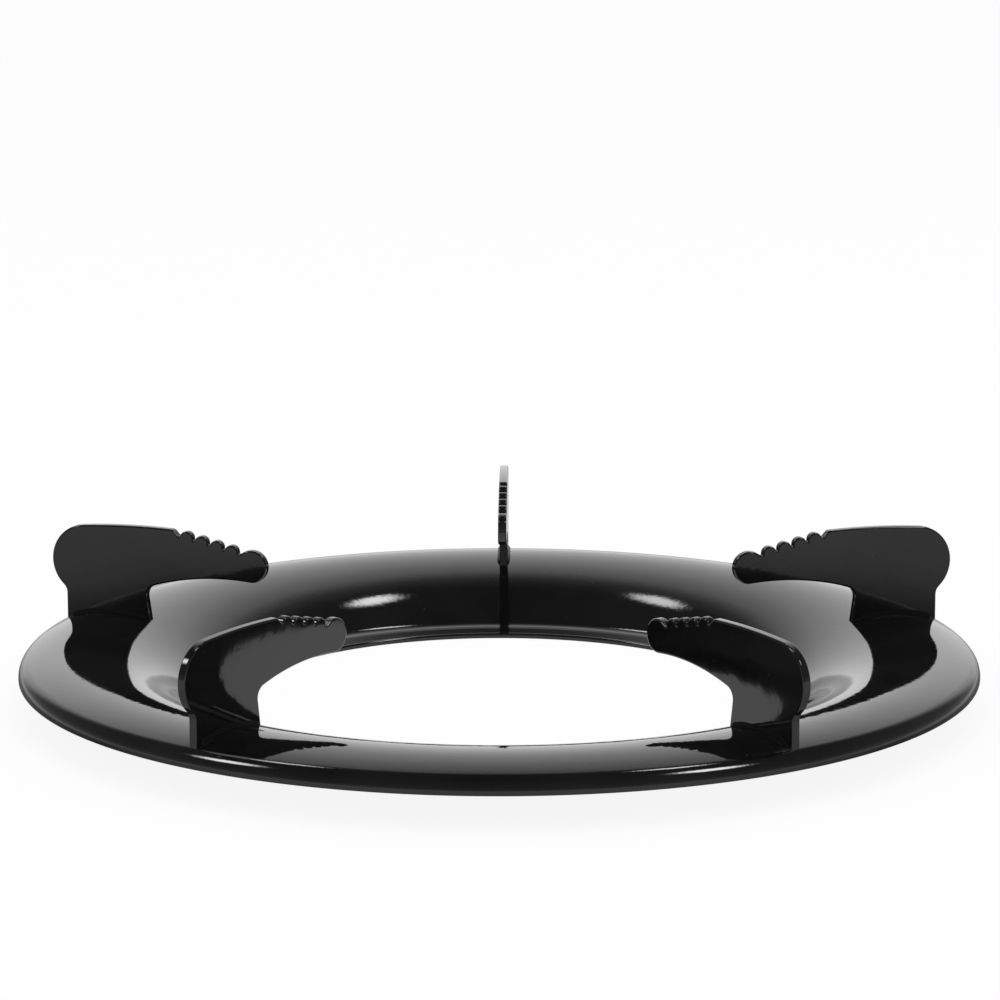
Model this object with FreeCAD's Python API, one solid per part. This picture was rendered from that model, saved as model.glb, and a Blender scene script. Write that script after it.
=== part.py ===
"""Gas stove pan support: an enamelled ring pressed from sheet, with five welded prongs.

Millimetres, +Z up. The origin is on the ring's axis, at the height of the surface that
the ring stands on. The first prong points along +Y.
"""
import FreeCAD, Part
import math
import os

from FreeCAD import Vector

# Ring: sheet thickness with its enamel, burner hole, ledge that the ring stands on, and cone
SHEET = 1.4
HOLE_RADIUS = 67.0
HOLE_TOP_ROUND = 0.6
HOLE_BOTTOM_ROUND = 0.2
LEDGE = 6.86
CONE_FILLET = 5.0
CONE_ANGLE = 38.0

# Ring: crest between an inner and an outer shoulder, and the rim beyond it
CREST_HEIGHT = 15.35
INNER_SHOULDER = 42.0
OUTER_SHOULDER = 33.0
RIM_REACH = 14.6
RIM_CURL = 4.3
RIM_WALL = 0.7
RIM_EDGE_ROUND = 0.4

# Prong plate: foot and outer lobe, placed from the rim and from the crest's top
PRONG_COUNT = 5
FIRST_PRONG_ANGLE = 90.0
PLATE = 2.3
PLATE_EDGE_ROUND = 0.5
FOOT_MARGIN = 2.3
LOBE = 9.45
LOBE_INSET = 5.5
LOBE_RISE = 13.4
LOBE_BLEND = 3.0

# Prong plate: crowned top, its inner corner and the flank down to the first notch
TOP_CROWN = 190.0
TOP_LENGTH = 24.4
TOP_RISE = 23.35
TOP_CORNER = 1.5
FLANK_SLOPE = 48.0
FLANK_RUN = 1.5

# Prong plate: scallops that step down and inwards, each pair with a notch between
SCALLOP_COUNT = 4
SCALLOP_PITCH = 4.3
SCALLOP_DEPTH = 1.85
SCALLOP_SLOPE = 12.6
NOTCH_ROUND = 0.3

# Prong plate: round tip, arched underside and throat
TIP = 4.3
TIP_RISE = 31.0
TIP_RUN = 1.2
ARCH = 70.0
THROAT_INSET = 1.7
THROAT_RISE = 5.05
THROAT_FILLET = 3.0

# Weld bead along both sides of each foot
BEAD_LEG = 1.3
BEAD_END_GAP = 1.5

TOUCHING = 1e-6
AXIS = Vector(0, 0, 1)
ACROSS = Vector(0, 1, 0)
ORIGIN = Vector(0, 0, 0)


# Drawing in the section plane, where x is the radius from the axis and z the height

def on_circle(centre, radius, angle):
    """Point of a circle at an angle in degrees, counted from x towards z."""
    turn = math.radians(angle)
    return centre + Vector(math.cos(turn), 0, math.sin(turn)) * radius


def line(start, end):
    return Part.LineSegment(start, end).toShape()


def arc(centre, radius, first, last):
    """Arc of a circle from one angle to another in degrees."""
    middle = (first + last) / 2
    return arc_through(*[on_circle(centre, radius, angle) for angle in (first, middle, last)])


def arc_through(start, middle, end):
    return Part.Arc(start, middle, end).toShape()


def bearing(start, end):
    """Angle in degrees of the direction from one point to another."""
    return math.degrees(math.atan2(end.z - start.z, end.x - start.x))


def circles_meet(first, first_radius, second, second_radius, side):
    """Point where two circles cross, left (+1) or right (-1) of the line from first to second."""
    apart = (second - first).Length
    along = (apart ** 2 + first_radius ** 2 - second_radius ** 2) / (2 * apart)
    turn = math.degrees(math.acos(along / first_radius))
    return on_circle(first, first_radius, bearing(first, second) + side * turn)


def face_of(edges):
    return Part.Face(Part.Wire(Part.sortEdges(edges)[0]))


# Places that follow from the sizes, each worked out from the ones before it

CONE_NORMAL = 90 + CONE_ANGLE
FILLET_CENTRE = Vector(HOLE_RADIUS + LEDGE, 0, SHEET + CONE_FILLET)
INNER_CENTRE_HEIGHT = CREST_HEIGHT - INNER_SHOULDER
BEND_SPAN = on_circle(ORIGIN, INNER_SHOULDER + CONE_FILLET, CONE_NORMAL)
CONE_CLIMB = INNER_CENTRE_HEIGHT + BEND_SPAN.z - FILLET_CENTRE.z
CONE_RUN = CONE_CLIMB / math.tan(math.radians(CONE_ANGLE))
CREST_RADIUS = FILLET_CENTRE.x + CONE_RUN - BEND_SPAN.x
INNER_CENTRE = Vector(CREST_RADIUS, 0, INNER_CENTRE_HEIGHT)
OUTER_CENTRE = Vector(CREST_RADIUS, 0, CREST_HEIGHT - OUTER_SHOULDER)

RING_RADIUS = CREST_RADIUS + RIM_REACH
CURL_REACH = RIM_REACH - RIM_CURL
CURL_DROP = OUTER_SHOULDER - math.sqrt((OUTER_SHOULDER - RIM_CURL) ** 2 - CURL_REACH ** 2)
CURL_CENTRE = Vector(CREST_RADIUS + CURL_REACH, 0, CREST_HEIGHT - CURL_DROP)
RIM_HEIGHT = CURL_CENTRE.z - RIM_WALL

FOOT_OUTER_RADIUS = RING_RADIUS - FOOT_MARGIN
FOOT_INNER_RADIUS = 2 * CREST_RADIUS - FOOT_OUTER_RADIUS
LOBE_CENTRE = Vector(FOOT_OUTER_RADIUS - LOBE_INSET, 0, CREST_HEIGHT + LOBE_RISE)
NOSE_CENTRE = Vector(LOBE_CENTRE.x - TOP_LENGTH, 0, CREST_HEIGHT + TOP_RISE - TOP_CORNER)
THROAT_X = FOOT_INNER_RADIUS + THROAT_INSET - THROAT_FILLET
THROAT_CENTRE = Vector(THROAT_X, 0, CREST_HEIGHT + THROAT_RISE)


# Ring

def ring_bends():
    """Bends of the upper skin from rim to ledge: centre, radius, first and last angle, hollow."""
    shoulder_start = bearing(OUTER_CENTRE, CURL_CENTRE)
    return [
        (CURL_CENTRE, RIM_CURL, 0, shoulder_start, False),
        (OUTER_CENTRE, OUTER_SHOULDER, shoulder_start, 90, False),
        (INNER_CENTRE, INNER_SHOULDER, 90, CONE_NORMAL, False),
        (FILLET_CENTRE, CONE_FILLET, CONE_ANGLE - 90, -90, True),
    ]


def ring_skin(depth):
    """Edges of the sheet at a depth below its upper skin, from the rim in to the hole."""
    edges = []
    here = Vector(RING_RADIUS - depth, 0, RIM_HEIGHT)
    for centre, radius, first, last, hollow in ring_bends():
        reach = radius + depth if hollow else radius - depth
        bend_start = on_circle(centre, reach, first)
        if (bend_start - here).Length > TOUCHING:
            edges.append(line(here, bend_start))
        edges.append(arc(centre, reach, first, last))
        here = on_circle(centre, reach, last)
    edges.append(line(here, Vector(HOLE_RADIUS, 0, SHEET - depth)))
    return edges


def round_edge_of(solid, radius, height, rounding):
    """Round the circular edge that a turned solid has at a radius and a height."""
    for edge in solid.Edges:
        curve = edge.Curve
        if not isinstance(curve, Part.Circle):
            continue
        off = Vector(curve.Center.x, curve.Center.y, curve.Center.z - height).Length
        if off + abs(curve.Radius - radius) < TOUCHING:
            return solid.makeFillet(rounding, [edge])
    raise ValueError("no round edge at radius %g, height %g" % (radius, height))


def make_ring():
    """The pressed sheet, with its hole and rim edges rounded by the enamel."""
    hole_wall = line(Vector(HOLE_RADIUS, 0, SHEET), Vector(HOLE_RADIUS, 0, 0))
    rim_end = line(Vector(RING_RADIUS, 0, RIM_HEIGHT), Vector(RING_RADIUS - SHEET, 0, RIM_HEIGHT))
    section = face_of(ring_skin(0) + ring_skin(SHEET) + [hole_wall, rim_end])
    ring = section.revolve(ORIGIN, AXIS, 360)
    ring = round_edge_of(ring, HOLE_RADIUS, SHEET, HOLE_TOP_ROUND)
    ring = round_edge_of(ring, HOLE_RADIUS, 0, HOLE_BOTTOM_ROUND)
    ring = round_edge_of(ring, RING_RADIUS, RIM_HEIGHT, RIM_EDGE_ROUND)
    return round_edge_of(ring, RING_RADIUS - SHEET, RIM_HEIGHT, RIM_EDGE_ROUND)


def under_ring():
    """All the space under the ring's upper skin, which the feet are trimmed to."""
    hole_side = line(Vector(HOLE_RADIUS, 0, SHEET), Vector(HOLE_RADIUS, 0, 0))
    floor = line(Vector(HOLE_RADIUS, 0, 0), Vector(RING_RADIUS, 0, 0))
    rim_side = line(Vector(RING_RADIUS, 0, 0), Vector(RING_RADIUS, 0, RIM_HEIGHT))
    section = face_of(ring_skin(0) + [hole_side, floor, rim_side])
    return section.revolve(ORIGIN, AXIS, 360)


# Prong

def scallop_rollers(first_notch):
    """Notches and scallops in turn, as circles of a belt, from the first notch to the last."""
    half_pitch = SCALLOP_PITCH / 2
    span = (SCALLOP_DEPTH ** 2 + half_pitch ** 2) / (2 * SCALLOP_DEPTH)
    half_step = on_circle(ORIGIN, half_pitch, 180 + SCALLOP_SLOPE)
    sink = on_circle(ORIGIN, span - SCALLOP_DEPTH, SCALLOP_SLOPE - 90)
    rollers = [(first_notch, -NOTCH_ROUND)]
    for _ in range(SCALLOP_COUNT):
        notch = rollers[-1][0]
        rollers.append((notch + half_step + sink, span - NOTCH_ROUND))
        rollers.append((notch + half_step * 2, -NOTCH_ROUND))
    return rollers


def plate_rollers():
    """Circles that the plate's outline is drawn around, from the foot up over the lobe."""
    blend_x = FOOT_OUTER_RADIUS + LOBE_BLEND
    blend_drop = math.sqrt((LOBE + LOBE_BLEND) ** 2 - (blend_x - LOBE_CENTRE.x) ** 2)
    blend = Vector(blend_x, 0, LOBE_CENTRE.z - blend_drop)
    crown_reach = TOP_CROWN - TOP_CORNER
    crown = circles_meet(LOBE_CENTRE, TOP_CROWN - LOBE, NOSE_CENTRE, crown_reach, 1)

    flank = on_circle(ORIGIN, FLANK_RUN, 180 + FLANK_SLOPE)
    first_notch = on_circle(NOSE_CENTRE + flank, TOP_CORNER + NOTCH_ROUND, 90 + FLANK_SLOPE)
    scallops = scallop_rollers(first_notch)
    rise = on_circle(ORIGIN, TIP_RUN, 180 - TIP_RISE)
    tip = on_circle(scallops[-1][0] + rise, NOTCH_ROUND + TIP, 270 - TIP_RISE)
    arch = circles_meet(tip, TIP + ARCH, THROAT_CENTRE, ARCH - THROAT_FILLET, -1)

    foot = [(Vector(radius, 0, RIM_HEIGHT), 0) for radius in (FOOT_INNER_RADIUS, FOOT_OUTER_RADIUS)]
    top = [(blend, -LOBE_BLEND), (LOBE_CENTRE, LOBE), (crown, TOP_CROWN), (NOSE_CENTRE, TOP_CORNER)]
    under = [(tip, TIP), (arch, -ARCH), (THROAT_CENTRE, -THROAT_FILLET)]
    return foot + top + scallops + under


def belt(rollers):
    """Closed outline drawn anticlockwise around circles, passing inside those of minus radius."""
    leave = []
    reach = []
    for (centre, radius), (after, after_radius) in zip(rollers, rollers[1:] + rollers[:1]):
        lean = (radius - after_radius) / (after - centre).Length
        if abs(lean) > 1 - TOUCHING:
            lean = round(lean)
        normal = bearing(centre, after) - math.degrees(math.acos(lean))
        leave.append(on_circle(centre, radius, normal))
        reach.append(on_circle(after, after_radius, normal))
    edges = []
    for index, (centre, radius) in enumerate(rollers):
        start, end = reach[index - 1], leave[index]
        if abs(radius) > TOUCHING:
            first = bearing(centre, start)
            sweep = (bearing(centre, end) - first) % 360
            if radius < 0:
                sweep = sweep - 360
            edges.append(arc(centre, abs(radius), first, first + sweep))
        if (reach[index] - end).Length > TOUCHING:
            edges.append(line(end, reach[index]))
    return edges


def outline_edges(plate):
    """Edges around the plate's two faces, without the straight one below the ring's skin."""
    found = []
    for edge in plate.Edges:
        start, end = [vertex.Point for vertex in edge.Vertexes]
        across = abs(start.y - end.y) > TOUCHING
        buried = max(start.z, end.z) < RIM_HEIGHT + TOUCHING
        if not across and not buried:
            found.append(edge)
    return found


def bead_run(centre, shoulder, end_radius):
    """Weld metal on both sides of a foot, following the crest from its top to a radius."""
    upper = Vector(CREST_RADIUS, PLATE / 2, CREST_HEIGHT + BEAD_LEG)
    buried = upper + Vector(0, BEAD_LEG + SHEET, -BEAD_LEG - SHEET)
    far_upper = Vector(upper.x, -upper.y, upper.z)
    far_buried = Vector(buried.x, -buried.y, buried.z)
    section = Part.Face(Part.makePolygon([upper, buried, far_buried, far_upper, upper]))
    turn = math.degrees(math.asin((end_radius - CREST_RADIUS) / shoulder))
    return section.revolve(centre, ACROSS, turn)


def make_prong(trim):
    """One stamped plate standing along +X, with its weld beads, trimmed to the ring's skin."""
    plate = face_of(belt(plate_rollers())).extrude(ACROSS * PLATE)
    plate.translate(ACROSS * (-PLATE / 2))
    plate = plate.makeFillet(PLATE_EDGE_ROUND, outline_edges(plate))
    outer_end = FOOT_OUTER_RADIUS - BEAD_END_GAP
    inner_end = FOOT_INNER_RADIUS + BEAD_END_GAP
    outer_bead = bead_run(OUTER_CENTRE, OUTER_SHOULDER, outer_end)
    inner_bead = bead_run(INNER_CENTRE, INNER_SHOULDER, inner_end)
    return plate.fuse([outer_bead, inner_bead]).cut(trim).removeSplitter()


def save(name, shape):
    solids = shape.Solids
    if len(solids) != 1 or not solids[0].isValid():
        raise ValueError("%s is not one sound solid" % name)
    solids[0].exportStep("parts/%s.step" % name)
    print("%-8s %9.1f mm3" % (name, solids[0].Volume))


os.makedirs("parts", exist_ok=True)
save("ring", make_ring())
prong = make_prong(under_ring())
for number in range(PRONG_COUNT):
    placed = prong.copy()
    placed.rotate(ORIGIN, AXIS, FIRST_PRONG_ANGLE + number * 360.0 / PRONG_COUNT)
    save("prong_%d" % (number + 1), placed)
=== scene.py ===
# %% [markdown]
# # A gas stove pan support in black enamel
#
# This lesson dresses a finished CAD model of a pan support: a dished ring pressed from
# sheet steel, with five stamped prongs welded on its crest, all dipped in black enamel.
# The CAD model gives every size. Blender gives what the CAD can't: enamel that runs
# round the edges, hand-laid weld, and a gloss that mirrors the studio.

# %% The frame that the CAD model sets
import math
import random

import bpy
from mathutils import Matrix, Vector, noise


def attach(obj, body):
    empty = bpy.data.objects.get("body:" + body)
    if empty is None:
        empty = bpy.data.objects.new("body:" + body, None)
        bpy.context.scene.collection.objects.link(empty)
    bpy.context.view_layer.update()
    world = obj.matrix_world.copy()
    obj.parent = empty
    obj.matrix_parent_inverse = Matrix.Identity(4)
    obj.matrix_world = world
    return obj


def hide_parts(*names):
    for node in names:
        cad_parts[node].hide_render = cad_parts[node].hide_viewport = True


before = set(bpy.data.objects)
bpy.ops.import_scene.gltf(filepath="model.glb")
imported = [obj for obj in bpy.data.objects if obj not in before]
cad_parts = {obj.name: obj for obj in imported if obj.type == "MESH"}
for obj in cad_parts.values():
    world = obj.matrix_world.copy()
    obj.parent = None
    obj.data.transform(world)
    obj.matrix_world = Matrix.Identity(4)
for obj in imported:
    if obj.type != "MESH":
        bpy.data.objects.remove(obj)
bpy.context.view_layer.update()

MM = 0.001

# %% [markdown]
# ## The camera
#
# The photo looks down on the part at about 14 degrees through a long lens. The camera is
# placed by the angle, distance and focal length that make the ring's ellipses and the
# prongs' tips fall where they do in the photo. It could be aimed with a constraint, but
# a camera built from its own three axes is exact.

# %% Camera
LENS = 156.52
CAMERA_DISTANCE = 1114.63
CAMERA_RISE = 13.931
CAMERA_TURN = 0.722
AIM_HEIGHT = 8.75
AIM_ABOVE = 2.1922
AIM_RIGHT = 0.011
CAMERA_ROLL = -0.0418


def direction(turn, rise):
    """Unit vector at an angle around Z from -Y and an angle above the floor, in degrees."""
    turn, rise = math.radians(turn), math.radians(rise)
    return Vector((math.sin(turn) * math.cos(rise), -math.cos(turn) * math.cos(rise), math.sin(rise)))


def make_camera():
    out = direction(CAMERA_TURN, CAMERA_RISE)
    aim = Vector((0, 0, AIM_HEIGHT * MM))
    ahead = -out
    right = ahead.cross(Vector((0, 0, 1))).normalized()
    ahead = Matrix.Rotation(math.radians(AIM_ABOVE), 3, right) @ ahead
    above = right.cross(ahead)
    ahead = Matrix.Rotation(math.radians(-AIM_RIGHT), 3, above) @ ahead
    right = ahead.cross(above)
    rolled_right = Matrix.Rotation(math.radians(-CAMERA_ROLL), 3, ahead) @ right
    rolled_above = rolled_right.cross(ahead)
    axes = Matrix((rolled_right, rolled_above, -ahead)).transposed()

    data = bpy.data.cameras.new("camera")
    data.lens = LENS
    data.sensor_width = 36
    data.clip_start = 0.05
    data.clip_end = 60
    camera = bpy.data.objects.new("camera", data)
    camera.matrix_world = Matrix.Translation(aim + out * CAMERA_DISTANCE * MM) @ axes.to_4x4()
    bpy.context.scene.collection.objects.link(camera)
    bpy.context.scene.camera = camera
    return camera


camera = make_camera()
print("camera at", [round(c, 4) for c in camera.location])

# %% [markdown]
# ## Points and normals for high gloss
#
# Black gloss shows every facet as a kink in a reflection. A plain lathe or a bevel
# modifier would do for a matt part, but here each outline is worked out from its circles,
# and every point carries the true normal of the surface. The mesh keeps those normals,
# so the reflections run as smoothly as they do on the real enamel.

# %% Points that carry their normal
def round_points(centre, radius, first, last, most=6.0):
    """Points around a circle in the plane of radius and height, with outward normals.
    A negative radius is a hollow bend, whose normals point to its centre."""
    count = max(2, math.ceil(abs(last - first) / most) + 1)
    sign = 1 if radius > 0 else -1
    points = []
    for step in range(count):
        turn = math.radians(first + (last - first) * step / (count - 1))
        out = (math.cos(turn), math.sin(turn))
        reach = abs(radius)
        place = (centre[0] + reach * out[0], centre[1] + reach * out[1])
        points.append((*place, sign * out[0], sign * out[1]))
    return points


def bearing(start, end):
    return math.degrees(math.atan2(end[1] - start[1], end[0] - start[0]))


def on_circle(centre, radius, angle):
    turn = math.radians(angle)
    return (centre[0] + radius * math.cos(turn), centre[1] + radius * math.sin(turn))


def smooth_piece(name, points, normals, faces):
    """Mesh object from millimetre points, shaded with the normals that it is given."""
    mesh = bpy.data.meshes.new(name)
    mesh.from_pydata([Vector(p) * MM for p in points], [], faces)
    mesh.shade_smooth()
    mesh.normals_split_custom_set_from_vertices([Vector(n).normalized() for n in normals])
    piece = bpy.data.objects.new(name, mesh)
    bpy.context.scene.collection.objects.link(piece)
    print(name, len(points), "points,", len(faces), "faces")
    return piece


# %% [markdown]
# ## The ring
#
# The real ring is one blank of sheet steel, pressed into a dish. From outside in it has a
# curled rim, a crest of two wide bends, a cone, a tight bend, and a flat ledge around the
# burner hole. It could be a revolved curve with a Solidify modifier, but then the edges
# would be square. Its closed section is drawn here bend by bend, with the enamel's round
# edges, and turned about the axis.

# %% The ring's section
SHEET = 1.4
HOLE_RADIUS = 67.0
HOLE_TOP_ROUND = 0.6
HOLE_BOTTOM_ROUND = 0.2
LEDGE = 6.86
CONE_FILLET = 5.0
CONE_ANGLE = 38.0
CREST_HEIGHT = 15.35
INNER_SHOULDER = 42.0
OUTER_SHOULDER = 33.0
RIM_REACH = 14.6
RIM_CURL = 4.3
RIM_WALL = 0.7
RIM_EDGE_ROUND = 0.4

CONE_NORMAL = 90 + CONE_ANGLE
FILLET_CENTRE = (HOLE_RADIUS + LEDGE, SHEET + CONE_FILLET)
span_x, span_z = on_circle((0, 0), INNER_SHOULDER + CONE_FILLET, CONE_NORMAL)
cone_climb = CREST_HEIGHT - INNER_SHOULDER + span_z - FILLET_CENTRE[1]
CREST_RADIUS = FILLET_CENTRE[0] + cone_climb / math.tan(math.radians(CONE_ANGLE)) - span_x
INNER_CENTRE = (CREST_RADIUS, CREST_HEIGHT - INNER_SHOULDER)
OUTER_CENTRE = (CREST_RADIUS, CREST_HEIGHT - OUTER_SHOULDER)
RING_RADIUS = CREST_RADIUS + RIM_REACH
curl_reach = RIM_REACH - RIM_CURL
curl_rise = math.sqrt((OUTER_SHOULDER - RIM_CURL) ** 2 - curl_reach ** 2)
CURL_CENTRE = (CREST_RADIUS + curl_reach, OUTER_CENTRE[1] + curl_rise)
RIM_HEIGHT = CURL_CENTRE[1] - RIM_WALL
print("crest at radius", round(CREST_RADIUS, 2), "mm, ring radius", round(RING_RADIUS, 2), "mm")


def ring_bends():
    """Bends of the upper skin from rim to ledge: centre, radius, first and last angle."""
    shoulder_start = bearing(OUTER_CENTRE, CURL_CENTRE)
    return [
        (CURL_CENTRE, RIM_CURL, 0, shoulder_start),
        (OUTER_CENTRE, OUTER_SHOULDER, shoulder_start, 90),
        (INNER_CENTRE, INNER_SHOULDER, 90, CONE_NORMAL),
        (FILLET_CENTRE, -CONE_FILLET, CONE_ANGLE - 90, -90),
    ]


def ring_section():
    """The sheet's closed section: over the top, round the hole's edge and back underneath."""
    upper, lower = [], []
    for centre, radius, first, last in ring_bends():
        most = 6 if abs(radius) < 10 else 2
        upper += round_points(centre, radius, first, last, most)
        under = round_points(centre, radius - SHEET, last, first, most)
        lower = [(x, z, -nx, -nz) for x, z, nx, nz in under] + lower
    top, bottom, edge = HOLE_TOP_ROUND, HOLE_BOTTOM_ROUND, RIM_EDGE_ROUND
    hole = round_points((HOLE_RADIUS + top, SHEET - top), top, 90, 180, 15)
    hole += round_points((HOLE_RADIUS + bottom, bottom), bottom, 180, 270, 30)
    rim = round_points((RING_RADIUS - SHEET + edge, RIM_HEIGHT + edge), edge, 180, 270, 15)
    rim += round_points((RING_RADIUS - edge, RIM_HEIGHT + edge), edge, 270, 360, 15)
    points = upper + hole + lower + rim
    return [point for point, before in zip(points, points[-1:] + points)
            if math.hypot(point[0] - before[0], point[1] - before[1]) > 1e-4]


section = ring_section()
print("ring section:", len(section), "points, from radius",
      round(min(p[0] for p in section), 2), "to", round(max(p[0] for p in section), 2), "mm")

# %% Turn the section into the ring
RING_STEPS = 300


def turn_section(name, profile, steps):
    """Closed section turned once around the axis."""
    points, normals, faces = [], [], []
    for step in range(steps):
        turn = 2 * math.pi * step / steps
        across, along = math.cos(turn), math.sin(turn)
        for x, z, nx, nz in profile:
            points.append((x * across, x * along, z))
            normals.append((nx * across, nx * along, nz))
    size = len(profile)
    for step in range(steps):
        here, there = step * size, (step + 1) % steps * size
        for index in range(size):
            after = (index + 1) % size
            faces.append((here + index, there + index, there + after, here + after))
    return smooth_piece(name, points, normals, faces)


ring = turn_section("ring_dressed", section, RING_STEPS)
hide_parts("ring")
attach(ring, "root")

# %% [markdown]
# ## The outline of a prong
#
# Each prong is stamped from plate. Its outline is like a belt that runs round a row of
# pulleys: outside the lobe, the crown of the top, each scallop and the tip, and inside
# each notch, the arch and the throat. Drawing it as a belt keeps every join smooth. The
# same could be drawn as a Bezier curve, but its handles would have to be set by eye.

# %% The pulleys of the prong's outline
FOOT_MARGIN = 2.3
LOBE = 9.45
LOBE_INSET = 5.5
LOBE_RISE = 13.4
LOBE_BLEND = 3.0
TOP_CROWN = 190.0
TOP_LENGTH = 24.4
TOP_RISE = 23.35
TOP_CORNER = 1.5
FLANK_SLOPE = 48.0
FLANK_RUN = 1.5
SCALLOP_COUNT = 4
SCALLOP_PITCH = 4.3
SCALLOP_DEPTH = 1.85
SCALLOP_SLOPE = 12.6
NOTCH_ROUND = 0.3
TIP = 4.3
TIP_RISE = 31.0
TIP_RUN = 1.2
ARCH = 70.0
THROAT_INSET = 1.7
THROAT_RISE = 5.05
THROAT_FILLET = 3.0

FOOT_OUTER_RADIUS = RING_RADIUS - FOOT_MARGIN
FOOT_INNER_RADIUS = 2 * CREST_RADIUS - FOOT_OUTER_RADIUS
LOBE_CENTRE = (FOOT_OUTER_RADIUS - LOBE_INSET, CREST_HEIGHT + LOBE_RISE)
NOSE = (LOBE_CENTRE[0] - TOP_LENGTH, CREST_HEIGHT + TOP_RISE - TOP_CORNER)
THROAT = (FOOT_INNER_RADIUS + THROAT_INSET - THROAT_FILLET, CREST_HEIGHT + THROAT_RISE)


def distance(first, second):
    return math.hypot(second[0] - first[0], second[1] - first[1])


def circles_meet(first, first_radius, second, second_radius, side):
    """Where two circles cross, left (+1) or right (-1) of the line between their centres."""
    apart = distance(first, second)
    along = (apart ** 2 + first_radius ** 2 - second_radius ** 2) / (2 * apart)
    turn = math.degrees(math.acos(along / first_radius))
    return on_circle(first, first_radius, bearing(first, second) + side * turn)


def scallop_pulleys(first_notch):
    """Notches and scallops in turn, stepping down and inwards."""
    half = SCALLOP_PITCH / 2
    span = (SCALLOP_DEPTH ** 2 + half ** 2) / (2 * SCALLOP_DEPTH)
    pulleys = [(first_notch, -NOTCH_ROUND)]
    for _ in range(SCALLOP_COUNT):
        middle = on_circle(pulleys[-1][0], half, 180 + SCALLOP_SLOPE)
        bump = on_circle(middle, span - SCALLOP_DEPTH, SCALLOP_SLOPE - 90)
        pulleys.append((bump, span - NOTCH_ROUND))
        pulleys.append((on_circle(middle, half, 180 + SCALLOP_SLOPE), -NOTCH_ROUND))
    return pulleys


def prong_pulleys():
    """All pulleys from the foot's outer side, up over the lobe, round to the throat."""
    blend_x = FOOT_OUTER_RADIUS + LOBE_BLEND
    blend_z = LOBE_CENTRE[1] - math.sqrt((LOBE + LOBE_BLEND) ** 2 - (blend_x - LOBE_CENTRE[0]) ** 2)
    crown = circles_meet(LOBE_CENTRE, TOP_CROWN - LOBE, NOSE, TOP_CROWN - TOP_CORNER, 1)
    flank_end = on_circle(NOSE, FLANK_RUN, 180 + FLANK_SLOPE)
    scallops = scallop_pulleys(on_circle(flank_end, TOP_CORNER + NOTCH_ROUND, 90 + FLANK_SLOPE))
    rise_end = on_circle(scallops[-1][0], TIP_RUN, 180 - TIP_RISE)
    tip = on_circle(rise_end, NOTCH_ROUND + TIP, 270 - TIP_RISE)
    arch = circles_meet(tip, TIP + ARCH, THROAT, ARCH - THROAT_FILLET, -1)
    return ([((blend_x, blend_z), -LOBE_BLEND), (LOBE_CENTRE, LOBE), (crown, TOP_CROWN), (NOSE, TOP_CORNER)]
            + scallops + [(tip, TIP), (arch, -ARCH), (THROAT, -THROAT_FILLET)])


def skin_height(radius, depth=0.0):
    """Height of the ring's crest at a radius, or of a layer at a depth inside the sheet."""
    shoulder = OUTER_SHOULDER if radius > CREST_RADIUS else INNER_SHOULDER
    return CREST_HEIGHT - shoulder + math.sqrt((shoulder - depth) ** 2 - (radius - CREST_RADIUS) ** 2)


pulleys = prong_pulleys()
print("prong outline:", len(pulleys), "pulleys; its tip reaches in to radius",
      round(pulleys[-3][0][0] - TIP, 2), "mm")

# %% The belt around the pulleys
FOOT_BURIED = 0.7


def belt_points():
    """Outline points with normals, up the outer side, over the top and down to the throat."""
    foot_outer = (FOOT_OUTER_RADIUS, skin_height(FOOT_OUTER_RADIUS, FOOT_BURIED))
    stations = [(foot_outer, 0.0)] + pulleys
    foot_inner = (FOOT_INNER_RADIUS, RIM_HEIGHT)
    touches = []
    for (centre, radius), (after, after_radius) in zip(stations, stations[1:] + [(foot_inner, 0.0)]):
        lean = max(-1, min(1, (radius - after_radius) / distance(centre, after)))
        touches.append(bearing(centre, after) - math.degrees(math.acos(lean)))
    points = []
    for index, (centre, radius) in enumerate(stations):
        if index == 0:
            turn = math.radians(touches[0])
            points.append((centre[0], centre[1], math.cos(turn), math.sin(turn)))
            continue
        first = touches[index - 1] + (180 if radius < 0 else 0)
        last = touches[index] + (180 if radius < 0 else 0)
        sweep = (last - first) % 360
        if radius < 0:
            sweep -= 360
        most = 1 if abs(radius) > 50 else 4 if abs(radius) > 5 else 8 if abs(radius) > 1 else 15
        arc = round_points(centre, radius, first, first + sweep, most)
        if points and distance(points[-1][:2], arc[0][:2]) < 1e-4:
            arc = arc[1:]
        points += arc
    turn = math.radians(touches[-1])
    inner_z = skin_height(FOOT_INNER_RADIUS, FOOT_BURIED)
    fall = (inner_z - RIM_HEIGHT) / (points[-1][1] - RIM_HEIGHT)
    inner_x = FOOT_INNER_RADIUS + (points[-1][0] - FOOT_INNER_RADIUS) * fall
    points.append((inner_x, inner_z, math.cos(turn), math.sin(turn)))
    return points


def foot_points(start, end, count=12):
    """Points of the foot's underside, buried in the ring's sheet."""
    points = []
    for step in range(1, count):
        radius = start + (end - start) * step / count
        points.append((radius, skin_height(radius, FOOT_BURIED), 0.0, -1.0))
    return points


outline = belt_points()
outline += foot_points(outline[-1][0], FOOT_OUTER_RADIUS)
print("prong outline:", len(outline), "points, highest at", round(max(p[1] for p in outline), 2), "mm")

# %% [markdown]
# ## The prong plate
#
# The plate is 2.3 mm thick and the enamel rounds its edges, as thick glaze does. A bevel
# modifier would round them too, but it crowds its points in the notches. Here each edge is
# a row of copies of the outline, pulled in a little further at each step of a quarter
# circle, and a flat cap closes each face.

# %% Plate mesh
PLATE = 2.3
PLATE_EDGE_ROUND = 0.5
EDGE_STEPS = 5


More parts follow.
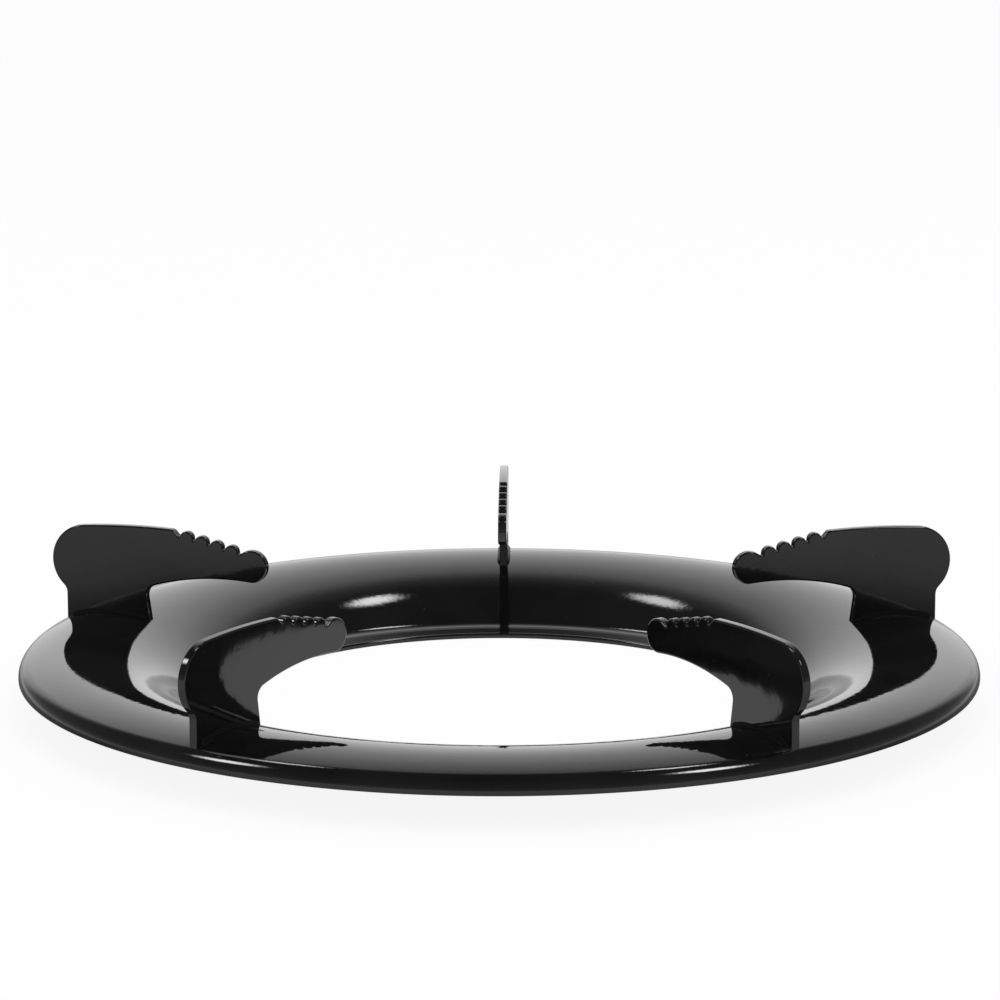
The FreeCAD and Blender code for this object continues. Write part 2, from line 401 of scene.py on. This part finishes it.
def plate_mesh():
    """Points, normals and faces of one plate standing along +X, its thickness along Y."""
    half = PLATE / 2
    rows = []
    for side in (-1, 1):
        steps = range(EDGE_STEPS + 1) if side > 0 else range(EDGE_STEPS, -1, -1)
        for step in steps:
            turn = side * math.pi / 2 * step / EDGE_STEPS
            rows.append((turn, side))
    points, normals, faces = [], [], []
    for turn, side in rows:
        pull = PLATE_EDGE_ROUND * (1 - math.cos(turn))
        across = side * (half - PLATE_EDGE_ROUND) + PLATE_EDGE_ROUND * math.sin(turn)
        for x, z, nx, nz in outline:
            points.append((x - nx * pull, across, z - nz * pull))
            normals.append((nx * math.cos(turn), math.sin(turn), nz * math.cos(turn)))
    size = len(outline)
    for row in range(len(rows) - 1):
        for index in range(size):
            after = (index + 1) % size
            low, high = row * size, (row + 1) * size
            faces.append((low + index, high + index, high + after, low + after))
    last = (len(rows) - 1) * size
    faces.append(tuple(range(size)))
    faces.append(tuple(last + index for index in reversed(range(size))))
    return points, normals, faces


plate_points, plate_normals, plate_faces = plate_mesh()
print("plate:", len(plate_points), "points,", len(plate_faces), "faces")

# %% [markdown]
# ## The weld at the foot
#
# A bead of weld runs along both sides of each foot, where plate meets crest. It is laid by
# hand, so its width wanders and its surface is lumpy, and a few drops of spatter stay
# beside it under the enamel. A swept curve would give an even bead, so the bead is made
# point by point: a nearly straight section from the plate down to the crest, moved along
# the crest, with the lumps added from smooth noise that is different for each prong. Its
# normals lean towards the plate's face, because enamel pools in the corner and hides it.

# %% Weld bead and spatter
BEAD_LEG = 1.3
BEAD_END_GAP = 1.5
BEAD_STEPS = 90
BEAD_ROWS = 8
BEAD_SWELL = 0.03
BEAD_SPREAD = 0.6
BEAD_MEAN = 0.85
LUMP_SHARE, LUMP_SCALE = 0.14, 0.35
RIPPLE_SHARE, RIPPLE_SCALE = 0.02, 1.1
BEAD_TAPER = 0.15
BEAD_END_LEG = 0.02
SKIN_BURIED = 0.05
CORNER_BURIED = 0.1
DROP_RINGS = 5
DROP_AROUND = 14
DROP_BURIED = 0.03


def face_normals(points, faces):
    """Smooth normals of a small skin: the mean of the faces around each point."""
    sums = [Vector((0, 0, 0)) for _ in points]
    for face in faces:
        corners = [Vector(points[index]) for index in face]
        normal = (corners[1] - corners[0]).cross(corners[-1] - corners[0])
        for index in face:
            sums[index] += normal
    return [tuple(total.normalized()) if total.length > 0 else (0, 0, 1) for total in sums]


def bead_mesh(side, seed):
    """One weld bead on a side of the plate, -1 or +1, that tapers at its ends."""
    start = FOOT_INNER_RADIUS + BEAD_END_GAP
    end = FOOT_OUTER_RADIUS - BEAD_END_GAP
    points, faces = [], []
    for step in range(BEAD_STEPS + 1):
        part = step / BEAD_STEPS
        radius = start + (end - start) * part
        past = max(0.0, (abs(2 * part - 1) - (1 - BEAD_TAPER)) / BEAD_TAPER)
        lump = noise.noise(Vector((radius * LUMP_SCALE, side * 7.0, seed * 13.7)))
        ripple = noise.noise(Vector((radius * RIPPLE_SCALE, side * 3.0 + 40, seed * 5.1)))
        uneven = BEAD_MEAN + LUMP_SHARE * lump + RIPPLE_SHARE * ripple
        leg = BEAD_LEG * uneven * math.sqrt(max(0.0, 1 - past * past)) + BEAD_END_LEG
        base = skin_height(radius)
        for row in range(BEAD_ROWS + 1):
            share = row / BEAD_ROWS
            swell = BEAD_SWELL * 4 * share * (1 - share)
            out = BEAD_SPREAD * leg * (share + swell)
            up = leg * (1 - share + swell)
            points.append((radius, side * (PLATE / 2 - SKIN_BURIED + out), base - SKIN_BURIED + up))
        points.append((radius, side * (PLATE / 2 - CORNER_BURIED), base - CORNER_BURIED))
    size = BEAD_ROWS + 2
    for step in range(BEAD_STEPS):
        here, there = step * size, (step + 1) * size
        for row in range(BEAD_ROWS):
            faces.append((here + row, there + row, there + row + 1, here + row + 1))
    normals = face_normals(points, faces if side > 0 else [face[::-1] for face in faces])
    normals = [(along, across + side, up) for along, across, up in normals]
    for step in range(BEAD_STEPS):
        here, there = step * size, (step + 1) * size
        for row, after in ((size - 2, size - 1), (size - 1, 0)):
            faces.append((here + row, there + row, there + after, here + after))
    last = BEAD_STEPS * size
    faces.append(tuple(range(size)))
    faces.append(tuple(last + row for row in reversed(range(size))))
    if side < 0:
        faces = [face[::-1] for face in faces]
    return points, normals, faces


def drop_mesh(centre, normal, radius, height):
    """A flattened drop of spatter: rings of points from its foot up to its top."""
    normal = Vector(normal).normalized()
    side = normal.orthogonal().normalized()
    other = normal.cross(side)
    points, faces = [], []
    for ring_index in range(DROP_RINGS):
        turn = math.pi / 2 * ring_index / DROP_RINGS
        reach = radius * math.cos(turn)
        rise = height * math.sin(turn) - DROP_BURIED
        for index in range(DROP_AROUND):
            angle = 2 * math.pi * index / DROP_AROUND
            flat = (side * math.cos(angle) + other * math.sin(angle)) * reach
            points.append(tuple(Vector(centre) + flat + normal * rise))
    points.append(tuple(Vector(centre) + normal * (height - DROP_BURIED)))
    for ring_index in range(DROP_RINGS - 1):
        for index in range(DROP_AROUND):
            after = (index + 1) % DROP_AROUND
            low, high = ring_index * DROP_AROUND, (ring_index + 1) * DROP_AROUND
            faces.append((low + index, low + after, high + after, high + index))
    low = (DROP_RINGS - 1) * DROP_AROUND
    for index in range(DROP_AROUND):
        faces.append((low + index, low + (index + 1) % DROP_AROUND, DROP_RINGS * DROP_AROUND))
    normals = face_normals(points, faces)
    faces.append(tuple(reversed(range(DROP_AROUND))))
    return points, normals, faces


print("a bead has", (BEAD_STEPS + 1) * (BEAD_ROWS + 2), "points")

# %% [markdown]
# ## Five prongs on the crest
#
# Each prong is one piece of plate with its own weld. They stand a fifth of a turn apart,
# the first one at the back. Hand-welded plates never stand quite true. The two front ones
# lean or twist a few degrees, which shows in what their faces mirror. Their normals turn
# by as much, while the plates stay where the CAD model has them.

# %% Assemble the prongs
PRONG_COUNT = 5
FIRST_PRONG_ANGLE = 90.0
SPATTER_COUNT = 4
SPATTER_SIZE = (0.15, 0.32)
SPATTER_RISE = (0.6, 3.5)
SPATTER_REACH = (0.6, 3.0)
SPATTER_END_GAP = 4
DROP_FLATNESS = 0.5
LEAN_AND_TWIST = {3: (-3.2, 1.2), 4: (-1.3, -2.3)}


def spatter(seed):
    """Places, normals and sizes of the drops beside one prong's weld."""
    chance = random.Random(seed)
    drops = []
    for _ in range(SPATTER_COUNT):
        side = chance.choice((-1, 1))
        size = chance.uniform(*SPATTER_SIZE)
        radius = chance.uniform(FOOT_INNER_RADIUS + SPATTER_END_GAP, FOOT_OUTER_RADIUS - SPATTER_END_GAP)
        if chance.random() < 0.5:
            height = skin_height(radius) + BEAD_LEG + chance.uniform(*SPATTER_RISE)
            drops.append(((radius, side * PLATE / 2, height), (0, side, 0), size))
        else:
            across = side * (PLATE / 2 + BEAD_LEG + chance.uniform(*SPATTER_REACH))
            shoulder = OUTER_CENTRE if radius > CREST_RADIUS else INNER_CENTRE
            normal = (radius - shoulder[0], 0, skin_height(radius) - shoulder[1])
            lean = math.hypot(radius, across)
            drops.append(((radius, across, skin_height(lean)), normal, size))
    return drops


def make_prong(number):
    """One dressed prong in its place, with its beads, its spatter and its untrue normals."""
    lean, twist = LEAN_AND_TWIST.get(number, (0.0, 0.0))
    untrue = Matrix.Rotation(math.radians(twist), 3, "Z") @ Matrix.Rotation(math.radians(lean), 3, "X")
    points, faces = list(plate_points), list(plate_faces)
    normals = [tuple(untrue @ Vector(normal)) for normal in plate_normals]
    extras = [bead_mesh(side, number) for side in (-1, 1)]
    for place, normal, size in spatter(number):
        extras.append(drop_mesh(place, normal, size, size * DROP_FLATNESS))
    for more_points, more_normals, more_faces in extras:
        shift = len(points)
        points += more_points
        normals += more_normals
        faces += [tuple(shift + index for index in face) for face in more_faces]
    angle = FIRST_PRONG_ANGLE + (number - 1) * 360 / PRONG_COUNT
    turn = Matrix.Rotation(math.radians(angle), 3, "Z")
    prong = smooth_piece("prong_%d_dressed" % number,
                         [turn @ Vector(p) for p in points],
                         [turn @ Vector(n) for n in normals], faces)
    weld_start = len(plate_points)
    weld_end = weld_start + sum(len(bead[0]) for bead in extras[:2])
    on_weld = [float(weld_start <= index < weld_end) for index in range(len(points))]
    weld = prong.data.attributes.new("weld", "FLOAT", "POINT")
    weld.data.foreach_set("value", on_weld)
    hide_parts("prong_%d" % number)
    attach(prong, "root")
    return prong


prongs = [make_prong(number) for number in range(1, PRONG_COUNT + 1)]
print("prongs stand from", round(FOOT_INNER_RADIUS, 2), "to", round(FOOT_OUTER_RADIUS, 2), "mm from the axis")

# %% [markdown]
# ## Shared effects: how enamel flows
#
# Vitreous enamel is glass that has melted over steel. It has a slow swell of a few
# millimetres and a much finer orange peel, both so shallow that they only show where
# something bright or dark is mirrored. It also carries faint cloudy patches and specks.
# An image texture could hold them, but noise from the object's own coordinates needs no
# unwrapping and follows the real scale. Both effects are node groups, so each material can
# use them with its own values.

# %% Node group helpers
def new_group(name, inputs, outputs):
    """Empty shader node group with named float or vector sockets."""
    group = bpy.data.node_groups.new(name, "ShaderNodeTree")
    for socket, kind, default in inputs:
        made = group.interface.new_socket(socket, in_out="INPUT", socket_type=kind)
        if kind == "NodeSocketFloat":
            made.default_value = default
    for socket, kind in outputs:
        group.interface.new_socket(socket, in_out="OUTPUT", socket_type=kind)
    return group, group.nodes.new("NodeGroupInput"), group.nodes.new("NodeGroupOutput")


def put(tree, kind, settings=(), **inputs):
    """New node with its settings and plain input values."""
    node = tree.nodes.new(kind)
    for name, value in dict(settings).items():
        setattr(node, name, value)
    for name, value in inputs.items():
        node.inputs[name].default_value = value
    return node


# %% Group: swell and orange peel
def make_flow_group():
    """Height in millimetres of the enamel's swell and its fine orange peel."""
    group, given, result = new_group(
        "enamel_flow",
        [("Vector", "NodeSocketVector", None), ("Swell Scale", "NodeSocketFloat", 110.0),
         ("Swell Height", "NodeSocketFloat", 0.02), ("Peel Scale", "NodeSocketFloat", 700.0),
         ("Peel Height", "NodeSocketFloat", 0.001)],
        [("Height", "NodeSocketFloat")])
    link = group.links.new
    swell = put(group, "ShaderNodeTexNoise", {"noise_dimensions": "3D"}, Detail=1.0, Roughness=0.4)
    peel = put(group, "ShaderNodeTexNoise", {"noise_dimensions": "3D"}, Detail=1.5, Roughness=0.5)
    link(given.outputs["Vector"], swell.inputs["Vector"])
    link(given.outputs["Vector"], peel.inputs["Vector"])
    link(given.outputs["Swell Scale"], swell.inputs["Scale"])
    link(given.outputs["Peel Scale"], peel.inputs["Scale"])
    tall = put(group, "ShaderNodeMath", {"operation": "MULTIPLY"})
    link(swell.outputs["Fac"], tall.inputs[0])
    link(given.outputs["Swell Height"], tall.inputs[1])
    both = put(group, "ShaderNodeMath", {"operation": "MULTIPLY_ADD"})
    link(peel.outputs["Fac"], both.inputs[0])
    link(given.outputs["Peel Height"], both.inputs[1])
    link(tall.outputs[0], both.inputs[2])
    link(both.outputs[0], result.inputs["Height"])
    return group


flow_group = make_flow_group()
print("group", flow_group.name, "has", len(flow_group.nodes), "nodes")

# %% Group: clouds and specks
def make_cloud_group():
    """Cloud is a slow mask from 0 to 1, and Specks is 1 in a few tiny spots."""
    group, given, result = new_group(
        "enamel_clouds",
        [("Vector", "NodeSocketVector", None), ("Cloud Scale", "NodeSocketFloat", 45.0),
         ("Speck Scale", "NodeSocketFloat", 200.0), ("Speck Size", "NodeSocketFloat", 0.035)],
        [("Cloud", "NodeSocketFloat"), ("Specks", "NodeSocketFloat")])
    link = group.links.new
    cloud = put(group, "ShaderNodeTexNoise", {"noise_dimensions": "3D"}, Detail=3.0, Roughness=0.55)
    link(given.outputs["Vector"], cloud.inputs["Vector"])
    link(given.outputs["Cloud Scale"], cloud.inputs["Scale"])
    spread = put(group, "ShaderNodeMapRange", {"interpolation_type": "SMOOTHSTEP"},
                 **{"From Min": 0.35, "From Max": 0.65})
    link(cloud.outputs["Fac"], spread.inputs["Value"])
    link(spread.outputs["Result"], result.inputs["Cloud"])
    cells = put(group, "ShaderNodeTexVoronoi", {"feature": "F1"})
    link(given.outputs["Vector"], cells.inputs["Vector"])
    link(given.outputs["Speck Scale"], cells.inputs["Scale"])
    near = put(group, "ShaderNodeMath", {"operation": "LESS_THAN"})
    link(cells.outputs["Distance"], near.inputs[0])
    link(given.outputs["Speck Size"], near.inputs[1])
    link(near.outputs[0], result.inputs["Specks"])
    return group


cloud_group = make_cloud_group()
print("group", cloud_group.name, "has", len(cloud_group.nodes), "nodes")

# %% [markdown]
# ## Black enamel
#
# The finish is nearly black glass: all that the eye sees is what it mirrors. So the base
# colour stays very dark, the gloss is high, and the flow group bends the reflections a
# little. The prongs get a stronger swell than the ring, because the enamel runs and
# pools on upright plates. Over the weld it is dull, because the bead is rough.
# The points of the beads carry an attribute for this, so one material covers a whole prong.

# %% Enamel material
DEEP_BLACK = (0.0035, 0.0035, 0.0037, 1)
CLOUDY_BLACK = (0.0060, 0.0060, 0.0062, 1)
SPECK_GREY = (0.035, 0.035, 0.035, 1)
PEEL_SCALE = 700.0
ENAMEL_SPECULAR = 0.5
WELD_ROUGHNESS = 0.35
WELD_SPECULAR = 0.12


def make_enamel(name, swell_scale, swell_height, peel_height, roughness):
    """Black glass with a swell, orange peel, clouds and specks, and dull over the weld."""
    material = bpy.data.materials.new(name)
    material.use_nodes = True
    tree = material.node_tree
    tree.nodes.clear()
    link = tree.links.new
    place = tree.nodes.new("ShaderNodeTexCoord")
    flow = put(tree, "ShaderNodeGroup", {"node_tree": flow_group},
               **{"Swell Scale": swell_scale, "Swell Height": swell_height,
                  "Peel Scale": PEEL_SCALE, "Peel Height": peel_height})
    clouds = put(tree, "ShaderNodeGroup", {"node_tree": cloud_group})
    link(place.outputs["Object"], flow.inputs["Vector"])
    link(place.outputs["Object"], clouds.inputs["Vector"])

    tint = put(tree, "ShaderNodeMix", {"data_type": "RGBA"})
    tint.inputs["A"].default_value = DEEP_BLACK
    tint.inputs["B"].default_value = CLOUDY_BLACK
    link(clouds.outputs["Cloud"], tint.inputs["Factor"])
    dust = put(tree, "ShaderNodeMix", {"data_type": "RGBA"})
    dust.inputs["B"].default_value = SPECK_GREY
    link(clouds.outputs["Specks"], dust.inputs["Factor"])
    link(tint.outputs["Result"], dust.inputs["A"])

    gloss = put(tree, "ShaderNodeMapRange", (), **{"To Min": roughness * 0.8, "To Max": roughness * 1.3})
    link(clouds.outputs["Cloud"], gloss.inputs["Value"])

    weld = put(tree, "ShaderNodeAttribute", {"attribute_name": "weld"})
    dull = put(tree, "ShaderNodeMix", {"data_type": "FLOAT"})
    dull.inputs["B"].default_value = WELD_ROUGHNESS
    link(weld.outputs["Fac"], dull.inputs["Factor"])
    link(gloss.outputs["Result"], dull.inputs["A"])
    mirror = put(tree, "ShaderNodeMapRange", (), **{"To Min": ENAMEL_SPECULAR, "To Max": WELD_SPECULAR})
    link(weld.outputs["Fac"], mirror.inputs["Value"])

    bump = put(tree, "ShaderNodeBump", (), Strength=1.0, Distance=MM)
    link(flow.outputs["Height"], bump.inputs["Height"])

    skin = put(tree, "ShaderNodeBsdfPrincipled", (), IOR=1.5)
    result = tree.nodes.new("ShaderNodeOutputMaterial")
    link(dust.outputs["Result"], skin.inputs["Base Color"])
    link(dull.outputs["Result"], skin.inputs["Roughness"])
    link(mirror.outputs["Result"], skin.inputs["Specular IOR Level"])
    link(bump.outputs["Normal"], skin.inputs["Normal"])
    link(skin.outputs["BSDF"], result.inputs["Surface"])
    return material


ring_enamel = make_enamel("black_enamel_ring", swell_scale=110.0, swell_height=0.02,
                          peel_height=0.013, roughness=0.045)
prong_enamel = make_enamel("black_enamel_prong", swell_scale=150.0, swell_height=0.035,
                           peel_height=0.0045, roughness=0.05)
ring.data.materials.append(ring_enamel)
for prong in prongs:
    prong.data.materials.append(prong_enamel)
print("materials:", [m.name for m in (ring_enamel, prong_enamel)])

# %% [markdown]
# ## The studio
#
# The part stands on white, in a dark room with one big white panel behind it. Gloss
# mirrors the panel in the crest, which turns grey there, and the cone, which looks
# straight up into the dark, stays black. The panel could be a mesh, but a world drawn by
# the direction of each ray has no corners to hide and can fade at its edge. Two small
# soft boxes above the back give the short highlights on the cone, and two wider ones at
# the sides give the streaks on the rim. They are painted into the same world as round
# spots, because lamps would show as discs with hard edges. One more lamp overhead lights
# the floor, and isn't mirrored.

# %% World
PANEL_RISE = 20.0
PANEL_NARROWING = 1.2
PANEL_LEVEL = 1.3
PANEL_FADE = [(0.50, 0.0), (0.669, 0.1), (0.743, 0.22), (0.788, 0.42),
              (0.839, 0.7), (0.906, 0.85), (0.94, 0.95), (1.0, 1.0)]
ROOM_BY_HEIGHT = [(0.0, 0.38), (0.08, 0.32), (0.2, 0.20), (0.5, 0.15), (0.8, 0.10), (1.0, 0.06)]
DIFFUSE_LEVEL = 0.8
SOFT_BOXES = [  # turn, rise, width and level
    (133, 67, 7.0, 13.0),
    (-140, 60.5, 7.0, 9.0),
    (66, 50, 12, 20.0),
    (-82, 44, 12, 17.0),
]


def level_ramp(tree, stops):
    """Ramp from positions to grey levels."""
    ramp = put(tree, "ShaderNodeValToRGB")
    while len(ramp.color_ramp.elements) < len(stops):
        ramp.color_ramp.elements.new(0.5)
    for element, (position, level) in zip(ramp.color_ramp.elements, stops):
        element.position = position
        element.color = (level, level, level, 1)
    return ramp


def soft_spot(tree, way, centre, width, level):
    """Round light around a direction, flat inside and soft at its edge, with its width in
    degrees at half level."""
    link = tree.links.new
    facing = put(tree, "ShaderNodeVectorMath", {"operation": "DOT_PRODUCT"})
    facing.inputs[1].default_value = centre
    link(way, facing.inputs[0])
    reach = 1 - math.cos(math.radians(width / 2))
    off = put(tree, "ShaderNodeMath", {"operation": "MULTIPLY_ADD"})
    off.inputs[1].default_value = -1 / reach
    off.inputs[2].default_value = 1 / reach
    link(facing.outputs["Value"], off.inputs[0])
    square = put(tree, "ShaderNodeMath", {"operation": "MULTIPLY"})
    link(off.outputs[0], square.inputs[0])
    link(off.outputs[0], square.inputs[1])
    fade = put(tree, "ShaderNodeMath", {"operation": "POWER"})
    fade.inputs[0].default_value = 0.5
    link(square.outputs[0], fade.inputs[1])
    lit = put(tree, "ShaderNodeMath", {"operation": "MULTIPLY"})
    lit.inputs[1].default_value = level
    link(fade.outputs[0], lit.inputs[0])
    return lit.outputs[0]


def make_world():
    """The camera sees white. Gloss sees a panel behind the part and a dark room."""
    world = bpy.data.worlds.new("studio")
    world.use_nodes = True
    tree = world.node_tree
    tree.nodes.clear()
    link = tree.links.new
    way = tree.nodes.new("ShaderNodeTexCoord")
    narrowed = put(tree, "ShaderNodeVectorMath", {"operation": "MULTIPLY"})
    narrowed.inputs[1].default_value = (PANEL_NARROWING, 1, 1)
    link(way.outputs["Generated"], narrowed.inputs[0])
    unit = put(tree, "ShaderNodeVectorMath", {"operation": "NORMALIZE"})
    link(narrowed.outputs["Vector"], unit.inputs[0])
    facing = put(tree, "ShaderNodeVectorMath", {"operation": "DOT_PRODUCT"})
    facing.inputs[1].default_value = direction(180 + CAMERA_TURN, PANEL_RISE)
    link(unit.outputs["Vector"], facing.inputs[0])
    panel = level_ramp(tree, PANEL_FADE)
    link(facing.outputs["Value"], panel.inputs["Fac"])
    parts = tree.nodes.new("ShaderNodeSeparateXYZ")
    link(way.outputs["Generated"], parts.inputs["Vector"])
    room = level_ramp(tree, ROOM_BY_HEIGHT)
    link(parts.outputs["Z"], room.inputs["Fac"])
    bright_panel = put(tree, "ShaderNodeMath", {"operation": "MULTIPLY"})
    bright_panel.inputs[1].default_value = PANEL_LEVEL
    link(panel.outputs["Color"], bright_panel.inputs[0])
    studio = put(tree, "ShaderNodeMath", {"operation": "MAXIMUM"})
    link(bright_panel.outputs[0], studio.inputs[0])
    link(room.outputs["Color"], studio.inputs[1])
    for turn, rise, width, level in SOFT_BOXES:
        box = soft_spot(tree, way.outputs["Generated"], direction(CAMERA_TURN + turn, rise), width, level)
        both = put(tree, "ShaderNodeMath", {"operation": "ADD"})
        link(studio.outputs[0], both.inputs[0])
        link(box, both.inputs[1])
        studio = both

    path = tree.nodes.new("ShaderNodeLightPath")
    mirrored = put(tree, "ShaderNodeMath", {"operation": "MAXIMUM"})
    link(path.outputs["Is Glossy Ray"], mirrored.inputs[0])
    link(path.outputs["Is Transmission Ray"], mirrored.inputs[1])
    plain = put(tree, "ShaderNodeMix", {"data_type": "FLOAT"})
    plain.inputs["A"].default_value = DIFFUSE_LEVEL
    link(mirrored.outputs[0], plain.inputs["Factor"])
    link(studio.outputs[0], plain.inputs["B"])
    seen = put(tree, "ShaderNodeMix", {"data_type": "FLOAT"})
    seen.inputs["B"].default_value = 1.0
    link(path.outputs["Is Camera Ray"], seen.inputs["Factor"])
    link(plain.outputs["Result"], seen.inputs["A"])
    light = put(tree, "ShaderNodeBackground", (), Color=(1, 1, 1, 1))
    result = tree.nodes.new("ShaderNodeOutputWorld")
    link(seen.outputs["Result"], light.inputs["Strength"])
    link(light.outputs["Background"], result.inputs["Surface"])
    bpy.context.scene.world = world


make_world()
print("world:", bpy.context.scene.world.name)

# %% Floor
FLOOR_SHARE = 0.9
FLOOR_IN_HOLE = 0.95
FLOOR_AHEAD = 0.8
# Painted shade: gloss sees the floor darkest next to the ring, lighter further out.
FLOOR_SHADE_BY_DISTANCE = [(0.150, 0.10), (0.165, 0.30), (0.180, 0.50), (0.205, 0.65)]
FLOOR_REACH = 6.0
FLOOR_DROP = 0.02


def make_floor():
    """A white floor that keeps the part's soft shadow. Gloss sees it bright inside the
    burner hole and less so outside, least of all behind. Outside the ring, except ahead,
    gloss sees painted shade: darkest next to the ring, lighter further out."""
    mesh = bpy.data.meshes.new("floor")
    corners = [(x * FLOOR_REACH, y * FLOOR_REACH, 0) for x, y in ((-1, -1), (1, -1), (1, 1), (-1, 1))]
    mesh.from_pydata(corners, [], [(0, 1, 2, 3)])
    floor = bpy.data.objects.new("floor", mesh)
    floor.location.z = -FLOOR_DROP * MM
    bpy.context.scene.collection.objects.link(floor)
    material = bpy.data.materials.new("floor_white")
    material.use_nodes = True
    tree = material.node_tree
    tree.nodes.clear()
    link = tree.links.new
    place = tree.nodes.new("ShaderNodeTexCoord")
    far = put(tree, "ShaderNodeVectorMath", {"operation": "LENGTH"})
    link(place.outputs["Object"], far.inputs[0])
    inside = put(tree, "ShaderNodeMapRange", (),
                 **{"From Min": 0.12, "From Max": 0.08, "To Min": 0.0, "To Max": 1.0})
    link(far.outputs["Value"], inside.inputs["Value"])
    parts = tree.nodes.new("ShaderNodeSeparateXYZ")
    link(place.outputs["Object"], parts.inputs["Vector"])
    # Painted shade on the floor as gloss sees it, darkest next to the ring.
    shade_beside = level_ramp(tree, FLOOR_SHADE_BY_DISTANCE)
    link(far.outputs["Value"], shade_beside.inputs["Fac"])
    ahead = put(tree, "ShaderNodeMapRange", (),
                **{"From Min": -0.07, "From Max": -0.13, "To Min": 0.0, "To Max": 1.0})
    link(parts.outputs["Y"], ahead.inputs["Value"])
    outside = put(tree, "ShaderNodeMix", {"data_type": "FLOAT"})
    outside.inputs["B"].default_value = FLOOR_AHEAD
    link(ahead.outputs["Result"], outside.inputs["Factor"])
    link(shade_beside.outputs["Color"], outside.inputs["A"])
    level = put(tree, "ShaderNodeMix", {"data_type": "FLOAT"})
    level.inputs["B"].default_value = FLOOR_IN_HOLE
    link(inside.outputs["Result"], level.inputs["Factor"])
    link(outside.outputs["Result"], level.inputs["A"])
    path = tree.nodes.new("ShaderNodeLightPath")
    bright = put(tree, "ShaderNodeMix", {"data_type": "FLOAT"})
    bright.inputs["B"].default_value = 1.0
    link(path.outputs["Is Camera Ray"], bright.inputs["Factor"])
    link(level.outputs["Result"], bright.inputs["A"])
    mirrored = put(tree, "ShaderNodeMath", {"operation": "MAXIMUM"})
    link(path.outputs["Is Glossy Ray"], mirrored.inputs[0])
    link(path.outputs["Is Transmission Ray"], mirrored.inputs[1])
    shown = put(tree, "ShaderNodeMath", {"operation": "MAXIMUM"})
    link(path.outputs["Is Camera Ray"], shown.inputs[0])
    link(mirrored.outputs[0], shown.inputs[1])
    share = put(tree, "ShaderNodeMath", {"operation": "MULTIPLY"})
    share.inputs[1].default_value = FLOOR_SHARE
    link(shown.outputs[0], share.inputs[0])
    paper = put(tree, "ShaderNodeBsdfDiffuse", (), Color=(0.9, 0.9, 0.9, 1))
    glow = tree.nodes.new("ShaderNodeEmission")
    both = tree.nodes.new("ShaderNodeMixShader")
    result = tree.nodes.new("ShaderNodeOutputMaterial")
    link(bright.outputs["Result"], glow.inputs["Strength"])
    link(share.outputs[0], both.inputs["Fac"])
    link(paper.outputs["BSDF"], both.inputs[1])
    link(glow.outputs["Emission"], both.inputs[2])
    link(both.outputs["Shader"], result.inputs["Surface"])
    mesh.materials.append(material)
    return floor


floor = make_floor()
print("floor at", round(floor.location.z / MM, 2), "mm")

# %% Overhead light
def overhead_light(turn, rise, reach, width, power):
    """Soft round lamp above the part. It lights the floor and isn't mirrored."""
    data = bpy.data.lights.new("overhead", "AREA")
    data.shape = "DISK"
    data.size = width
    data.energy = power
    out = direction(CAMERA_TURN + turn, rise)
    lamp = bpy.data.objects.new("overhead", data)
    lamp.location = out * reach
    lamp.rotation_euler = out.to_track_quat("Z", "Y").to_euler()
    lamp.visible_glossy = False
    lamp.visible_camera = False
    bpy.context.scene.collection.objects.link(lamp)
    return lamp


lamp = overhead_light(turn=20, rise=75, reach=2.0, width=1.8, power=12.0)
print("lamp:", lamp.name)

# %% [markdown]
# ## Settings
#
# The view transform is plain, so colours come out as they are written.

# %% Finish
bpy.context.scene.view_settings.view_transform = "Standard"
